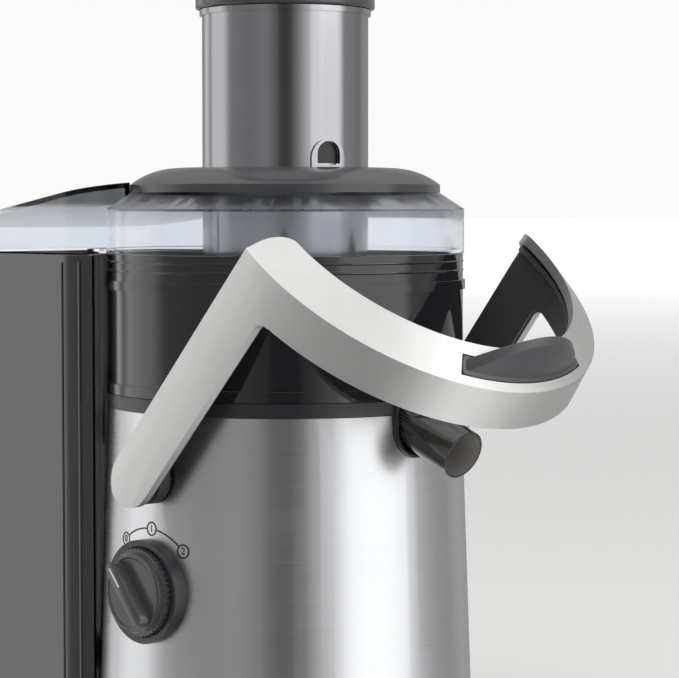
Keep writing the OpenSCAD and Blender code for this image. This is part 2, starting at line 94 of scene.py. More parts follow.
def smoothFaces(mesh, sharpAngle):
    for face in mesh.polygons:
        face.use_smooth = True
    mesh.set_sharp_from_angle(angle=math.radians(sharpAngle))


def tidyMesh(mesh, weld=meshLook["weld"], sharpAngle=meshLook["sharp angle"]):
    work = bmesh.new()
    work.from_mesh(mesh)
    bmesh.ops.remove_doubles(work, verts=work.verts, dist=weld)
    bmesh.ops.recalc_face_normals(work, faces=work.faces)
    work.to_mesh(mesh)
    work.free()
    smoothFaces(mesh, sharpAngle)


# plain mesh of an object made from a curve, a text or a modifier; the object goes
def plainMesh(seed, name):
    bpy.context.view_layer.update()
    mesh = bpy.data.meshes.new_from_object(seed.evaluated_get(bpy.context.evaluated_depsgraph_get()))
    mesh.name = name
    seed.modifiers.clear()
    bpy.data.objects.remove(seed)
    return mesh


# four-sided faces between neighbouring rings that all have the same number of points
def ringFaces(rings, size):
    faces = []
    for k in range(rings - 1):
        for i in range(size):
            j = (i + 1) % size
            faces.append([k * size + i, k * size + j, (k + 1) * size + j, (k + 1) * size + i])
    return faces


# the same with a flat end at the first and the last ring
def closedRings(rings, size):
    last = (rings - 1) * size
    return ringFaces(rings, size) + [list(reversed(range(size))), [last + i for i in range(size)]]


def addPart(verts, faces, newVerts, newFaces):
    start = len(verts)
    verts.extend(newVerts)
    faces.extend([[start + i for i in face] for face in newFaces])


def bevelEdges(piece, width, segments):
    bevel = piece.modifiers.new("edges", "BEVEL")
    bevel.width = width
    bevel.segments = segments
    bevel.limit_method = "ANGLE"
    bevel.angle_limit = math.radians(meshLook["sharp angle"])
    bevel.use_clamp_overlap = True
    bevel.harden_normals = False
    normals = piece.modifiers.new("normals", "WEIGHTED_NORMAL")
    normals.keep_sharp = True


def dress(piece, material):
    piece.data.materials.clear()
    piece.data.materials.append(material)
    return piece


# a CAD node's shape with its loose triangles joined and its hard edges softened
def softCopy(node, name, material, width, segments):
    work = bmesh.new()
    work.from_mesh(nodes[node].data)
    bmesh.ops.remove_doubles(work, verts=work.verts, dist=meshLook["weld"])
    flat = math.radians(meshLook["flat angle"])
    bmesh.ops.dissolve_limit(work, angle_limit=flat, verts=work.verts, edges=work.edges)
    work.verts.index_update()
    verts = [v.co.copy() for v in work.verts]
    faces = [[v.index for v in face.verts] for face in work.faces]
    work.free()
    mesh = meshFrom(name, verts, faces)
    smoothFaces(mesh, meshLook["sharp angle"])
    piece = dress(addObject(name, mesh), material)
    bevelEdges(piece, width, segments)
    standFor(piece, node)


def softCopies(edges, segments=2):
    for node, (name, material, width) in edges.items():
        softCopy(node, name, material, width, segments)


# a piece seen in place of a CAD node
def standFor(piece, node):
    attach(piece, bodyOf[node])
    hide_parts(node)


# a piece seen together with a CAD node, moving with it
def extraPiece(piece, node):
    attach(piece, bodyOf[node])


def newGroup(name, inputs, outputs):
    group = bpy.data.node_groups.new(name, "ShaderNodeTree")
    for label, kind, value in inputs:
        socket = group.interface.new_socket(label, in_out="INPUT", socket_type="NodeSocket" + kind)
        if value is not None:
            socket.default_value = value
    for label, kind in outputs:
        group.interface.new_socket(label, in_out="OUTPUT", socket_type="NodeSocket" + kind)
    return group, group.nodes.new("NodeGroupInput"), group.nodes.new("NodeGroupOutput")


def addNode(tree, kind, links=None, **settings):
    node = tree.nodes.new(kind)
    for key, value in settings.items():
        setattr(node, key, value)
    for key, value in (links or {}).items():
        socket = node.inputs[key]
        if isinstance(value, bpy.types.NodeSocket):
            tree.links.new(value, socket)
        else:
            socket.default_value = value
    return node


def mathNode(tree, operation, first, second=0.0):
    return addNode(tree, "ShaderNodeMath", {0: first, 1: second}, operation=operation).outputs[0]


def noiseNode(tree, place, scale, detail, more=None):
    links = {"Vector": place, "Scale": scale, "Detail": detail, **(more or {})}
    return addNode(tree, "ShaderNodeTexNoise", links).outputs["Fac"]


def rangeNode(tree, value, low, high):
    ranged = addNode(tree, "ShaderNodeMapRange", {"Value": value, "From Min": low, "From Max": high})
    return ranged.outputs["Result"]


# long fine lines: Stretch is small along them and large across them
def brushedGroup():
    group, start, end = newGroup(
        "brushedGrain",
        [("Vector", "Vector", None), ("Stretch", "Vector", (4, 4, 900)), ("Streak", "Float", 0.5)],
        [("Grain", "Float"), ("Shade", "Float")])
    stretched = addNode(group, "ShaderNodeVectorMath",
                        {0: start.outputs["Vector"], 1: start.outputs["Stretch"]}, operation="MULTIPLY")
    fine = noiseNode(group, stretched.outputs[0], 2.2, 4.0, {"Roughness": 0.7})
    wide = noiseNode(group, stretched.outputs[0], 0.32, 2.0, {"Roughness": 0.5})
    both = addNode(group, "ShaderNodeMix", {0: start.outputs["Streak"], 2: fine, 3: wide},
                   data_type="FLOAT")
    group.links.new(fine, end.inputs["Grain"])
    group.links.new(rangeNode(group, both.outputs[0], 0.3, 0.7), end.inputs["Shade"])
    return group


# fine pebbled texture and a slow cloudy variation
def mouldedGroup():
    group, start, end = newGroup(
        "mouldedSurface",
        [("Vector", "Vector", None), ("Pebble Scale", "Float", 900.0), ("Cloud Scale", "Float", 14.0)],
        [("Pebble", "Float"), ("Cloud", "Float")])
    pebble = noiseNode(group, start.outputs["Vector"], start.outputs["Pebble Scale"], 2.0)
    cloud = noiseNode(group, start.outputs["Vector"], start.outputs["Cloud Scale"], 3.0)
    group.links.new(pebble, end.inputs["Pebble"])
    group.links.new(cloud, end.inputs["Cloud"])
    return group


# faint wiping marks and a little dust lying on faces that look up
def handledGroup():
    group, start, end = newGroup(
        "handledSurface", [("Vector", "Vector", None), ("Scale", "Float", 30.0)],
        [("Smear", "Float"), ("Dust", "Float")])
    smear = noiseNode(group, start.outputs["Vector"], start.outputs["Scale"], 4.0,
                      {"Distortion": 1.4})
    geometry = addNode(group, "ShaderNodeNewGeometry")
    axes = addNode(group, "ShaderNodeSeparateXYZ", {0: geometry.outputs["Normal"]})
    facingUp = rangeNode(group, axes.outputs["Z"], 0.5, 1.0)
    specks = noiseNode(group, start.outputs["Vector"], 420.0, 3.0)
    group.links.new(rangeNode(group, smear, 0.45, 0.75), end.inputs["Smear"])
    group.links.new(mathNode(group, "MULTIPLY", facingUp, specks), end.inputs["Dust"])
    return group


brushed = brushedGroup()
moulded = mouldedGroup()
handled = handledGroup()
print("shader groups:", brushed.name, moulded.name, handled.name)


def startMaterial(name, values):
    material = bpy.data.materials.new(name)
    material.use_nodes = True
    tree = material.node_tree
    shader = tree.nodes["Principled BSDF"]
    for key, value in values.items():
        shader.inputs[key].default_value = value
    place = addNode(tree, "ShaderNodeTexCoord").outputs["Object"]
    return material, tree, shader, place


def useGroup(tree, group, links):
    return addNode(tree, "ShaderNodeGroup", links, node_tree=group)


def spread(tree, factor, low, high):
    ranged = addNode(tree, "ShaderNodeMapRange", {"Value": factor, "To Min": low, "To Max": high})
    return ranged.outputs["Result"]


# mix of two colours, each given as red, green and blue or as a socket
def tint(tree, factor, first, second):
    ends = [value if isinstance(value, bpy.types.NodeSocket) else (*value, 1) for value in (first, second)]
    return addNode(tree, "ShaderNodeMix", {0: factor, 6: ends[0], 7: ends[1]}, data_type="RGBA").outputs[2]


def bumpFrom(tree, shader, height, strength, distance):
    bump = addNode(tree, "ShaderNodeBump", {"Height": height, "Strength": strength, "Distance": distance})
    tree.links.new(bump.outputs["Normal"], shader.inputs["Normal"])


def brushedMetal(name, dark, light, rough, stretch, turn=(0, 0, 0), bump=0.12, streak=0.5):
    material, tree, shader, place = startMaterial(name, {"Metallic": 1.0})
    turned = addNode(tree, "ShaderNodeMapping", {"Vector": place, "Rotation": turn}, vector_type="POINT")
    grain = useGroup(tree, brushed, {"Vector": turned.outputs[0], "Stretch": stretch, "Streak": streak})
    marks = useGroup(tree, handled, {"Vector": place, "Scale": 16.0})
    tree.links.new(tint(tree, grain.outputs["Shade"], dark, light), shader.inputs["Base Color"])
    wiped = mathNode(tree, "ADD", grain.outputs["Shade"], marks.outputs["Smear"])
    tree.links.new(spread(tree, wiped, *rough), shader.inputs["Roughness"])
    bumpFrom(tree, shader, grain.outputs["Grain"], bump, 0.0002)
    return material


dustColour = (0.6, 0.59, 0.57)


def plastic(name, dark, light, rough, pebble=900.0, bump=0.05, extra=None):
    material, tree, shader, place = startMaterial(name, extra or {})
    skin = useGroup(tree, moulded, {"Vector": place, "Pebble Scale": pebble, "Cloud Scale": 14.0})
    marks = useGroup(tree, handled, {"Vector": place, "Scale": 26.0})
    base = tint(tree, skin.outputs["Cloud"], dark, light)
    dusty = mathNode(tree, "MULTIPLY", marks.outputs["Dust"], 0.05)
    tree.links.new(tint(tree, dusty, base, dustColour), shader.inputs["Base Color"])
    worn = mathNode(tree, "ADD", marks.outputs["Smear"], skin.outputs["Cloud"])
    tree.links.new(spread(tree, worn, *rough), shader.inputs["Roughness"])
    bumpFrom(tree, shader, skin.outputs["Pebble"], bump, 0.0003)
    return material


def clearPlastic(name, dark, light, rough, ior, transmission, extra=None):
    values = {"Transmission Weight": transmission, "IOR": ior}
    values.update(extra or {})
    material, tree, shader, place = startMaterial(name, values)
    skin = useGroup(tree, moulded, {"Vector": place, "Pebble Scale": 60.0, "Cloud Scale": 9.0})
    marks = useGroup(tree, handled, {"Vector": place, "Scale": 22.0})
    tree.links.new(tint(tree, skin.outputs["Cloud"], dark, light), shader.inputs["Base Color"])
    tree.links.new(spread(tree, marks.outputs["Smear"], *rough), shader.inputs["Roughness"])
    bumpFrom(tree, shader, skin.outputs["Pebble"], 0.005, 0.001)
    return material


# turn of the arm's grain, since the arm is modelled lowered
armTurn = (0, -math.radians(abs(jointOf["arm_swing"]["range_deg"][0])), 0)
skinSteel = brushedMetal("skinSteel", (0.57, 0.575, 0.585), (0.61, 0.615, 0.625), (0.26, 0.31),
                         (5, 5, 1400), bump=0.03, streak=0.25)
armMetal = brushedMetal("armMetal", (0.62, 0.62, 0.61), (0.67, 0.67, 0.66), (0.44, 0.52),
                        (6, 6, 1600), armTurn, 0.03, 0.3)
tubeMetal = brushedMetal("tubeMetal", (0.33, 0.33, 0.345), (0.37, 0.37, 0.385), (0.10, 0.17),
                         (60, 60, 3), bump=0.03)
platedSteel = brushedMetal("platedSteel", (0.55, 0.55, 0.56), (0.72, 0.72, 0.72), (0.2, 0.4),
                           (90, 90, 90))
castAlloy = brushedMetal("castAlloy", (0.42, 0.42, 0.43), (0.58, 0.58, 0.58), (0.4, 0.65),
                         (260, 260, 260), bump=0.4)
filterSteel = brushedMetal("filterSteel", (0.55, 0.55, 0.56), (0.70, 0.70, 0.71), (0.25, 0.4),
                           (5, 5, 700))
coreSteel = brushedMetal("coreSteel", (0.08, 0.08, 0.09), (0.16, 0.16, 0.17), (0.35, 0.5),
                         (2, 2, 1500), bump=0.5)
copperWire = brushedMetal("copperWire", (0.42, 0.15, 0.06), (0.75, 0.33, 0.16), (0.25, 0.45),
                          (40, 40, 900), bump=0.6)
brightBrass = brushedMetal("brightBrass", (0.60, 0.42, 0.18), (0.78, 0.58, 0.28), (0.2, 0.35),
                           (120, 120, 120))

blackPlastic = plastic("blackPlastic", (0.018, 0.018, 0.02), (0.03, 0.03, 0.033), (0.42, 0.6))
greyPlastic = plastic("greyPlastic", (0.16, 0.16, 0.17), (0.21, 0.21, 0.22), (0.45, 0.6))
darkSatin = plastic("darkSatin", (0.058, 0.057, 0.063), (0.078, 0.077, 0.084), (0.30, 0.42), 1300.0, 0.06)
liningGrey = plastic("liningGrey", (0.085, 0.085, 0.088), (0.11, 0.11, 0.114), (0.38, 0.55), 800.0, 0.1)
rimPlastic = plastic("rimPlastic", (0.02, 0.02, 0.024), (0.028, 0.028, 0.033), (0.22, 0.34), 1500.0, 0.03)
capGloss = plastic("capGloss", (0.05, 0.05, 0.055), (0.065, 0.065, 0.07), (0.12, 0.22), 1500.0, 0.02)
containerGloss = plastic("containerGloss", (0.012, 0.012, 0.014), (0.018, 0.018, 0.021), (0.06, 0.12),
                         300.0, 0.015, {"Coat Weight": 0.6, "Coat Roughness": 0.05, "IOR": 1.6})
footRubber = plastic("footRubber", (0.022, 0.022, 0.022), (0.034, 0.034, 0.034), (0.7, 0.9), 500.0, 0.3)
carbonBlock = plastic("carbonBlock", (0.02, 0.02, 0.02), (0.05, 0.05, 0.05), (0.4, 0.6), 1500.0, 0.3)
boardGreen = plastic("boardGreen", (0.01, 0.09, 0.035), (0.015, 0.13, 0.05), (0.3, 0.45))
inkBlack = plastic("inkBlack", (0.006, 0.006, 0.006), (0.012, 0.012, 0.012), (0.35, 0.5))

smokePlastic = clearPlastic("smokePlastic", (0.014, 0.0135, 0.017), (0.02, 0.0195, 0.024), (0.05, 0.10),
                            1.5, 0.3, {"Coat Weight": 0.3, "Coat Roughness": 0.04})
spoutSmoke = clearPlastic("spoutSmoke", (0.13, 0.125, 0.12), (0.16, 0.155, 0.15), (0.04, 0.08),
                          1.45, 0.8, {"Coat Weight": 0.3, "Coat Roughness": 0.03})
# pale colour for the spout's inner faces: a painted highlight, not the plastic's own colour
spoutPaintedHighlight = clearPlastic("spoutPaintedHighlight", (0.34, 0.33, 0.31), (0.4, 0.385, 0.36), (0.3, 0.4), 1.4, 0.35)
lidPlastic = clearPlastic("lidPlastic", (0.80, 0.82, 0.86), (0.84, 0.86, 0.90), (0.02, 0.05),
                          1.12, 1.0, {"Coat Weight": 0.5, "Coat Roughness": 0.03})
lidFrost = clearPlastic("lidFrost", (0.80, 0.82, 0.86), (0.84, 0.86, 0.90), (0.36, 0.44), 1.12, 1.0)
sealClear = clearPlastic("sealClear", (0.7, 0.74, 0.78), (0.78, 0.8, 0.84), (0.25, 0.4), 1.4, 0.6)
print("materials:", len(bpy.data.materials))

materialOfSlot = {
    "black_plastic": blackPlastic, "foot_rubber": footRubber, "plated_steel": platedSteel,
    "brushed_skin": skinSteel, "grey_plastic": greyPlastic, "rim_plastic": rimPlastic,
    "seal_rubber": footRubber, "clear_seal": sealClear, "cast_alloy": castAlloy,
    "core_steel": coreSteel, "copper_wire": copperWire, "bright_brass": brightBrass,
    "carbon_block": carbonBlock, "board_green": boardGreen, "smoke_plastic": smokePlastic,
    "clear_plastic": lidPlastic, "dark_gloss": capGloss, "tube_gloss": tubeMetal,
    "arm_satin": armMetal, "dark_plastic": darkSatin, "filter_steel": filterSteel,
    "container_gloss": containerGloss,
}
for node, cadObject in nodes.items():
    dress(cadObject, materialOfSlot[slotOf[node]])


def newShapeTree(name, inputs):
    tree = bpy.data.node_groups.new(name, "GeometryNodeTree")
    tree.interface.new_socket("Geometry", in_out="INPUT", socket_type="NodeSocketGeometry")
    sockets = {}
    for label, kind, value in inputs:
        socket = tree.interface.new_socket(label, in_out="INPUT", socket_type="NodeSocket" + kind)
        if value is not None:
            socket.default_value = value
        sockets[label] = socket.identifier
    tree.interface.new_socket("Geometry", in_out="OUTPUT", socket_type="NodeSocketGeometry")
    return tree, tree.nodes.new("NodeGroupInput"), tree.nodes.new("NodeGroupOutput"), sockets


def closeTree(tree, end, geometry, material):
    realized = addNode(tree, "GeometryNodeRealizeInstances", {0: geometry})
    dressed = addNode(tree, "GeometryNodeSetMaterial",
                      {"Geometry": realized.outputs[0], "Material": material})
    tree.links.new(dressed.outputs[0], end.inputs[0])


# runs a tree on an empty mesh and keeps the plain mesh that it gives
def grow(name, tree, sockets, values):
    seed = addObject(name + "Seed", bpy.data.meshes.new(name + "Seed"))
    modifier = seed.modifiers.new("shape", "NODES")
    modifier.node_group = tree
    for label, value in values.items():
        modifier[sockets[label]] = value
    return addObject(name, plainMesh(seed, name))


# a perforated wall between two radii: every cell of a wrapped grid keeps a frame round its hole
def perforatedTree():
    tree, start, end, sockets = newShapeTree("perforatedCone", [
        ("Low Radius", "Float", 0.052), ("High Radius", "Float", 0.084), ("Low Height", "Float", 0.0),
        ("High Height", "Float", 0.05), ("Columns", "Int", 150), ("Rows", "Int", 30),
        ("Hole Share", "Float", 0.6), ("Thickness", "Float", 0.0005), ("Material", "Material", None)])
    columns = mathNode(tree, "ADD", start.outputs["Columns"], 1)
    rows = mathNode(tree, "ADD", start.outputs["Rows"], 1)
    grid = addNode(tree, "GeometryNodeMeshGrid", {"Size X": 1.0, "Size Y": 1.0,
                                                  "Vertices X": columns, "Vertices Y": rows})
    place = addNode(tree, "ShaderNodeSeparateXYZ", {0: addNode(tree, "GeometryNodeInputPosition").outputs[0]})
    turn = mathNode(tree, "MULTIPLY", place.outputs["X"], math.tau)
    rise = mathNode(tree, "ADD", place.outputs["Y"], 0.5)
    radius = addNode(tree, "ShaderNodeMapRange", {"Value": rise, "To Min": start.outputs["Low Radius"],
                                                  "To Max": start.outputs["High Radius"]}).outputs[0]
    height = addNode(tree, "ShaderNodeMapRange", {"Value": rise, "To Min": start.outputs["Low Height"],
                                                  "To Max": start.outputs["High Height"]}).outputs[0]
    across = mathNode(tree, "MULTIPLY", radius, mathNode(tree, "COSINE", turn))
    along = mathNode(tree, "MULTIPLY", radius, mathNode(tree, "SINE", turn))
    spot = addNode(tree, "ShaderNodeCombineXYZ", {"X": across, "Y": along, "Z": height})
    wrapped = addNode(tree, "GeometryNodeSetPosition", {"Geometry": grid.outputs["Mesh"],
                                                        "Position": spot.outputs[0]})
    closed = addNode(tree, "GeometryNodeMergeByDistance", {"Geometry": wrapped.outputs[0],
                                                           "Distance": 1e-5})
    inset = addNode(tree, "GeometryNodeExtrudeMesh", {"Mesh": closed.outputs[0], "Offset Scale": 0.0,
                                                      "Individual": True}, mode="FACES")
    shrunk = addNode(tree, "GeometryNodeScaleElements", {"Geometry": inset.outputs["Mesh"],
                                                         "Selection": inset.outputs["Top"],
                                                         "Scale": start.outputs["Hole Share"]})
    holed = addNode(tree, "GeometryNodeDeleteGeometry", {"Geometry": shrunk.outputs[0],
                                                         "Selection": inset.outputs["Top"]}, domain="FACE")
    thick = addNode(tree, "GeometryNodeExtrudeMesh", {"Mesh": holed.outputs[0],
                                                      "Offset Scale": start.outputs["Thickness"],
                                                      "Individual": False}, mode="FACES")
    back = addNode(tree, "GeometryNodeFlipFaces", {"Mesh": holed.outputs[0]})
    joined = tree.nodes.new("GeometryNodeJoinGeometry")
    tree.links.new(thick.outputs["Mesh"], joined.inputs[0])
    tree.links.new(back.outputs[0], joined.inputs[0])
    merged = addNode(tree, "GeometryNodeMergeByDistance", {"Geometry": joined.outputs[0],
                                                           "Distance": 1e-5})
    closeTree(tree, end, merged.outputs[0], start.outputs["Material"])
    return tree, sockets


# thin bars standing in a ring
def ribRingTree():
    tree, start, end, sockets = newShapeTree("ribRing", [
        ("Count", "Int", 40), ("Ring Radius", "Float", 0.03), ("Bar Radius", "Float", 0.0008),
        ("Bar Length", "Float", 0.01), ("Material", "Material", None)])
    ring = addNode(tree, "GeometryNodeMeshCircle", {"Vertices": start.outputs["Count"],
                                                    "Radius": start.outputs["Ring Radius"]})
    bar = addNode(tree, "GeometryNodeMeshCylinder", {"Vertices": 8, "Radius": start.outputs["Bar Radius"],
                                                     "Depth": start.outputs["Bar Length"]})
    standing = addNode(tree, "GeometryNodeInstanceOnPoints", {"Points": ring.outputs["Mesh"],
                                                              "Instance": bar.outputs["Mesh"]})
    closeTree(tree, end, standing.outputs[0], start.outputs["Material"])
    return tree, sockets


# one ring of little pointed teeth, with a free start turn
def teethTree():
    tree, start, end, sockets = newShapeTree("graterTeeth", [
        ("Count", "Int", 12), ("Ring Radius", "Float", 0.03), ("Tooth Width", "Float", 0.0024),
        ("Tooth Height", "Float", 0.002), ("Start Turn", "Float", 0.0), ("Material", "Material", None)])
    ring = addNode(tree, "GeometryNodeMeshCircle", {"Vertices": start.outputs["Count"],
                                                    "Radius": start.outputs["Ring Radius"]})
    tooth = addNode(tree, "GeometryNodeMeshCone", {"Vertices": 4, "Radius Top": 0.0002,
                                                   "Radius Bottom": start.outputs["Tooth Width"],
                                                   "Depth": start.outputs["Tooth Height"]})
    where = addNode(tree, "GeometryNodeInputPosition")
    facing = addNode(tree, "FunctionNodeAlignRotationToVector", {"Vector": where.outputs[0]}, axis="X")
    standing = addNode(tree, "GeometryNodeInstanceOnPoints", {"Points": ring.outputs["Mesh"],
                                                              "Instance": tooth.outputs["Mesh"],
                                                              "Rotation": facing.outputs[0]})
    turnedRing = addNode(tree, "GeometryNodeTransform", {"Geometry": standing.outputs[0]})
    spin = addNode(tree, "ShaderNodeCombineXYZ", {"Z": start.outputs["Start Turn"]})
    tree.links.new(spin.outputs[0], turnedRing.inputs["Rotation"])
    closeTree(tree, end, turnedRing.outputs[0], start.outputs["Material"])
    return tree, sockets


# CAD node: name of its softened copy, material and width of the softened edges
baseEdges = {
    "steel_skin": ("steelSkin", skinSteel, 0.0002),
    "top_deck": ("deckRim", rimPlastic, 0.0006),
    "base_pan": ("basePan", blackPlastic, 0.0006),
    "rubber_feet": ("rubberFeet", footRubber, 0.0006),
    "cord_gland": ("cordGland", footRubber, 0.0006),
    "knob_bezel": ("knobBezel", rimPlastic, 0.0007),
    "pivot_bosses": ("pivotBosses", blackPlastic, 0.0006),
    "base_screws": ("baseScrews", platedSteel, 0.0004),
    "drive_coupling": ("driveCoupling", blackPlastic, 0.0005),
}
softCopies(baseEdges)
print("motor base")

dialLook = {"radius": 0.0326, "line": 0.0008, "circle": 0.0034, "raise": 0.00012, "sunk": 0.00002,
            "numeral": 0.0055, "marks": {"0": -40, "1": 3, "2": 46}}
knobLook = {
    "radius": 0.0226, "rib count": 48, "rib radius": 0.0007, "ring depth": 0.0042, "edge": 0.0008,
    "step radius": 0.0208, "step depth": 0.0080, "hollow": 0.0005,
    "grip half": 0.0045, "grip reach": 0.0196, "grip depth": 0.0139,
    "grip rounding": ((0.0005, 0.0003, 0.0014), (0.0009, 0.0007, 0.0004), (0.0016, 0.0014, 0)),
    "pointer half": 0.0005, "pointer reach": 0.0120, "pointer middle": 0.0105, "pointer raise": 0.00006,
}


# closed turned shell: profile points are (radius, distance along the axis)
def turned(profile, steps):
    angles = [math.tau * i / steps for i in range(steps)]
    verts = [Vector((radius * math.cos(t), radius * math.sin(t), along))
             for radius, along in profile for t in angles]
    return verts, closedRings(len(profile), steps)


# bar with round ends, lofted through (half width, half length, distance) levels
def roundBar(levels, steps=12):
    size = 2 * steps + 2
    verts = []
    for half, reach, along in levels:
        for i in range(size):
            side = 1 if i <= steps else -1
            turn = math.pi * (i if i <= steps else i - 1) / steps
            endways = side * (reach - half) + half * math.sin(turn)
            verts.append(Vector((half * math.cos(turn), endways, along)))
    return verts, closedRings(len(levels), size)


# local z runs out of the knob's seat towards the hand; the grip points at the off mark
def knobPlace():
    centre = jointOf["knob_turn"]["pos_m"]
    seat = Matrix.Translation((centre[0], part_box("speed_knob")[1].y, centre[2]))
    off = Matrix.Rotation(math.radians(min(dialLook["marks"].values())), 4, "Y")
    return seat @ off @ Matrix.Rotation(math.pi / 2, 4, "X")


def knobPart(name, verts, faces, material):
    mesh = meshFrom(name, verts, faces)
    mesh.transform(knobPlace())
    tidyMesh(mesh)
    return dress(addObject(name, mesh), material)


def makeKnob(look):
    verts, faces = [], []
    edge, step, soft = look["radius"], look["step radius"], look["edge"]
    ring, face = look["ring depth"] + soft, look["step depth"]
    addPart(verts, faces, *turned([
        (0.004, 0), (edge - 0.0006, 0), (edge, 0.0006), (edge, ring - soft), (edge - soft, ring),
        (step + 0.0003, ring), (step, ring + 0.0004), (step, face - 0.0009), (step - 0.0009, face),
        (step - 0.0022, face), (step - 0.0030, face - look["hollow"]), (0.004, face - look["hollow"])], 96))
    half, reach, top = look["grip half"], look["grip reach"], look["grip depth"]
    levels = [(half, reach, face - 0.0030), (half, reach, face)]
    levels += [(half - narrow, reach - short, top - drop) for narrow, short, drop in look["grip rounding"]]
    addPart(verts, faces, *roundBar(levels))
    standFor(knobPart("speedKnob", verts, faces, capGloss), "speed_knob")
    half, reach = look["pointer half"], look["pointer reach"] / 2
    verts, faces = roundBar([(half, reach, top - 0.0002), (half, reach, top + look["pointer raise"])], 6)
    verts = [v + Vector((0, look["pointer middle"], 0)) for v in verts]
    extraPiece(knobPart("knobPointer", verts, faces, platedSteel), "speed_knob")


def knobRibs(look):
    tree, sockets = ribRingTree()
    ribs = grow("knobRibs", tree, sockets, {
        "Count": look["rib count"], "Ring Radius": look["radius"], "Bar Radius": look["rib radius"],
        "Bar Length": look["ring depth"], "Material": capGloss})
    middle = (look["ring depth"] + look["edge"]) / 2
    ribs.data.transform(knobPlace() @ Matrix.Translation((0, 0, middle)))
    tidyMesh(ribs.data)
    extraPiece(ribs, "speed_knob")


makeKnob(knobLook)
knobRibs(knobLook)
print("knob")


# radius of the steel skin at a height
def skinRadius(height):
    low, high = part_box("steel_skin")
    topR = -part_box("top_deck")[0].y - 0.001
    bottomR = high.y
    return bottomR + (topR - bottomR) * (height - low.z) / (high.z - low.z)


# places flat points (x to the right, z up, out away from the skin) on the front of the skin
def onSkin(x, z, out):
    radius = skinRadius(z) + out
    return Vector((x, -math.sqrt(radius * radius - x * x), z))


# raised line of one width along flat points, lying on the skin
def ribbon(points, width, lift, closed):
    count = len(points)
    verts, faces = [], []
    for i, point in enumerate(points):
        before = points[(i - 1) % count] if closed or i else points[0]
        after = points[(i + 1) % count] if closed or i < count - 1 else points[-1]
        run = (after - before).normalized()
        side = Vector((-run.y, run.x)) * width / 2
        corners = ((point - side, 0.0), (point + side, 0.0), (point + side, lift), (point - side, lift))
        for place, out in corners:
            verts.append(onSkin(place.x, place.y, out - dialLook["sunk"]))
    for i in range(count if closed else count - 1):
        a, b = 4 * i, 4 * ((i + 1) % count)
        for k in range(4):
            faces.append([a + k, b + k, b + (k + 1) % 4, a + (k + 1) % 4])
    if not closed:
        faces += [[0, 1, 2, 3], [4 * count - 1, 4 * count - 2, 4 * count - 3, 4 * count - 4]]
    return verts, faces


def numeral(text, size, lift):
    curve = bpy.data.curves.new("numeral", "FONT")
    curve.body = text
    curve.size = size
    curve.align_x = "CENTER"
    curve.align_y = "CENTER"
    curve.extrude = lift / 2
    return plainMesh(addObject("numeral", curve), "numeral")


def dialPrint(look):
    centre = Vector((0, jointOf["knob_turn"]["pos_m"][2]))
    verts, faces = [], []

    def spot(angle):
        turn = math.radians(angle)
        return centre + look["radius"] * Vector((math.sin(turn), math.cos(turn)))

    angles = sorted(look["marks"].values())
    clear = math.degrees(look["circle"] / look["radius"])
    steps = 14
    for first, second in zip(angles, angles[1:]):
        span = [first + clear + (second - first - 2 * clear) * i / steps for i in range(steps + 1)]
        addPart(verts, faces, *ribbon([spot(a) for a in span], look["line"], look["raise"], False))
    for text, angle in look["marks"].items():
        middle = spot(angle)
        circle = [middle + look["circle"] * Vector((math.cos(t), math.sin(t)))
                  for t in [math.tau * i / 36 for i in range(36)]]
        addPart(verts, faces, *ribbon(circle, look["line"], look["raise"], True))
        mesh = numeral(text, look["numeral"], look["raise"])
        addPart(verts, faces, [onSkin(middle.x + v.co.x, middle.y + v.co.y, v.co.z + look["raise"] / 2)
                               for v in mesh.vertices], [list(face.vertices) for face in mesh.polygons])
    printed = meshFrom("dialPrint", verts, faces)
    tidyMesh(printed)
    piece = dress(addObject("dialPrint", printed), inkBlack)
    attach(piece, "base")


dialPrint(dialLook)
print("dial")

topEdges = {
    "juice_bowl": ("juiceBowl", smokePlastic, 0.0005),
    "lid": ("clearLid", lidPlastic, 0.0006),
    "lid_cover": ("lidCap", capGloss, 0.0006),
    "feed_tube": ("feedTube", tubeMetal, 0.0005),
    "pusher_cap": ("pusherCap", capGloss, 0.0012),
}
softCopies(topEdges)

# the lid's sloping shoulder is finely frosted, inside and outside
frostLook = {"steepest": 0.75, "flattest": 0.90}


def frostShoulder(lid, look):
    lid.data.materials.append(lidFrost)
    for face in lid.data.polygons:
        if look["steepest"] < abs(face.normal.z) < look["flattest"]:
            face.material_index = 1


frostShoulder(bpy.data.objects["clearLid"], frostLook)

# the spout outside the steel skin is thinner and lets more light through; its inner faces get a pale colour, a
# painted highlight for the light seen through the spout
spoutLook = {"start": (0.096, 0, 0.2007), "fall": 23, "from edge": 0.004, "inward": -0.7}


def clearerSpoutWithPaintedHighlight(bowl, look):
    bowl.data.materials.append(spoutSmoke)
    bowl.data.materials.append(spoutPaintedHighlight)
    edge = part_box("steel_skin")[1].x - look["from edge"]
    fall = math.radians(look["fall"])
    axis = Vector((math.cos(fall), 0, -math.sin(fall)))
    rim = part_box("top_deck")[1].z
    for face in bowl.data.polygons:
        if face.center.x > edge and face.center.z < rim:
            away = face.center - Vector(look["start"])
            away -= axis * away.dot(axis)
            # faces that look towards the spout's axis get the pale painted highlight
            inside = face.normal.dot(away.normalized()) < look["inward"]
            face.material_index = 2 if inside else 1


clearerSpoutWithPaintedHighlight(bpy.data.objects["juiceBowl"], spoutLook)


# round bead along a list of points
def bead(name, points, radius, material, node, closed=False):
    curve = bpy.data.curves.new(name, "CURVE")
    curve.dimensions = "3D"
    curve.bevel_depth = radius
    curve.bevel_resolution = 3
    curve.use_fill_caps = True
    line = curve.splines.new("POLY")
    line.points.add(len(points) - 1)
    for point, place in zip(line.points, points):
        point.co = (*place, 1)
    line.use_cyclic_u = closed
    mesh = plainMesh(addObject(name, curve), name)
    tidyMesh(mesh)
    extraPiece(dress(addObject(name, mesh), material), node)


